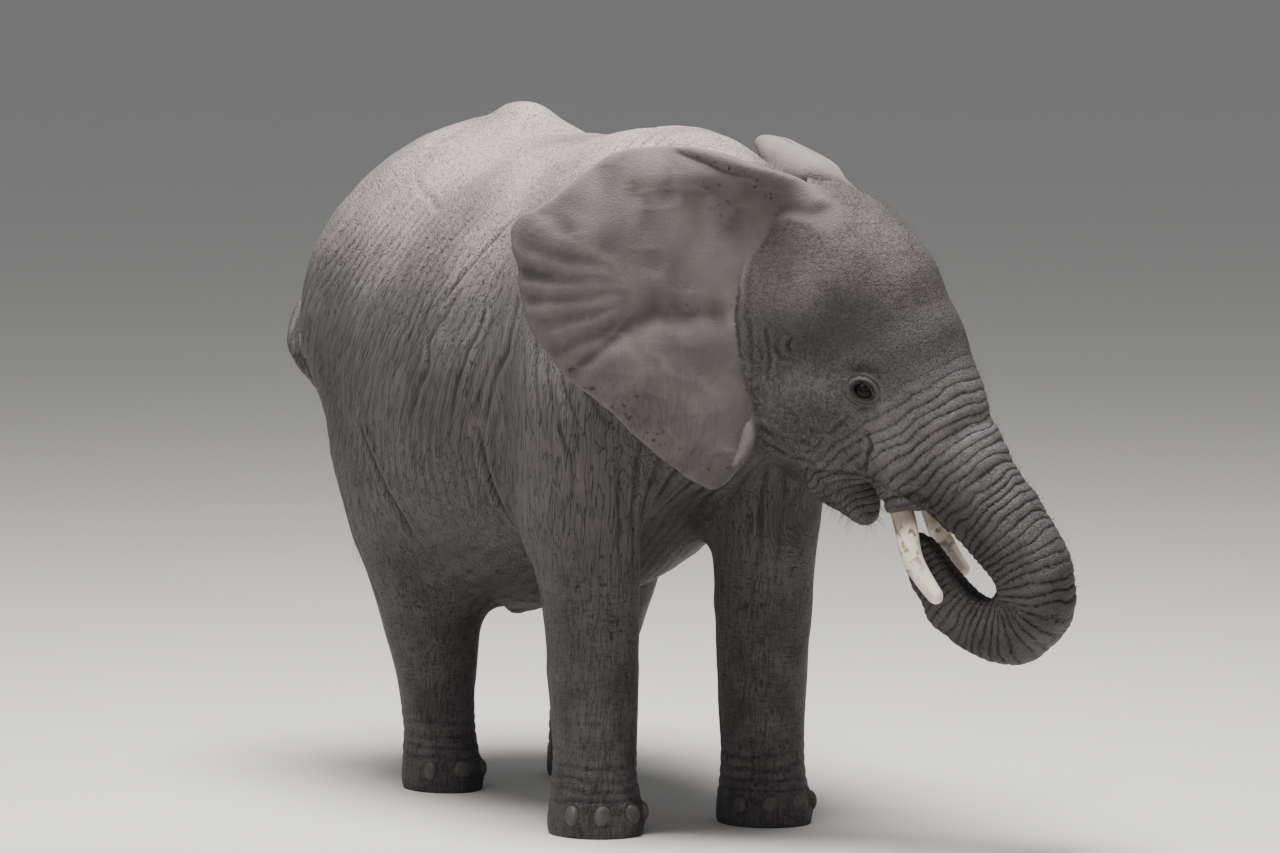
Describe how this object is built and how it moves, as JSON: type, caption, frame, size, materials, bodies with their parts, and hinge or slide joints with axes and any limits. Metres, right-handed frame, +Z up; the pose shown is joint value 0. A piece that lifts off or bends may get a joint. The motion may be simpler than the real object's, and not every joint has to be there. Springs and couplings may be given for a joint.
{
  "type": "standing young african savanna elephant model",
  "caption": "Young African savanna elephant, life size, standing with its head lowered and turned to its left and its trunk curled back under short tusks.",
  "frame": {"origin": "on the floor, under the middle of the bounding box", "axes": "+Z up, -Y the way the body faces, +X to the animal's own left; the head turns from -Y towards +X"},
  "size_m": [1.1904, 2.482, 1.7843],
  "materials": {
    "hide": "dry, deeply wrinkled grey-brown hide with pale dust",
    "ear_hide": "smooth, matt, warm brown-grey ear hide",
    "ivory": "stained cream ivory with a soft sheen",
    "nail_horn": "dull grey-brown horn",
    "eyeball": "wet, dark brown"
  },
  "bodies": {
    "root": {"ear_left": "ear_hide", "ear_right": "ear_hide", "eye_left": "eyeball", "eye_right": "eyeball", "foreleg_lower_left": "hide", "foreleg_lower_right": "hide", "foreleg_upper_left": "hide", "foreleg_upper_right": "hide", "head": "hide", "hindleg_lower_left": "hide", "hindleg_lower_right": "hide", "hindleg_upper_left": "hide", "hindleg_upper_right": "hide", "lower_jaw": "hide", "nail_fore_left_1": "nail_horn", "nail_fore_left_2": "nail_horn", "nail_fore_left_3": "nail_horn", "nail_fore_left_4": "nail_horn", "nail_fore_right_1": "nail_horn", "nail_fore_right_2": "nail_horn", "nail_fore_right_3": "nail_horn", "nail_fore_right_4": "nail_horn", "nail_hind_left_1": "nail_horn", "nail_hind_left_2": "nail_horn", "nail_hind_left_3": "nail_horn", "nail_hind_right_1": "nail_horn", "nail_hind_right_2": "nail_horn", "nail_hind_right_3": "nail_horn", "neck": "hide", "tail_lower": "hide", "tail_upper": "hide", "torso": "hide", "trunk_1": "hide", "trunk_2": "hide", "trunk_3": "hide", "trunk_4": "hide", "tusk_left": "ivory", "tusk_right": "ivory"}
  },
  "joints": []
}
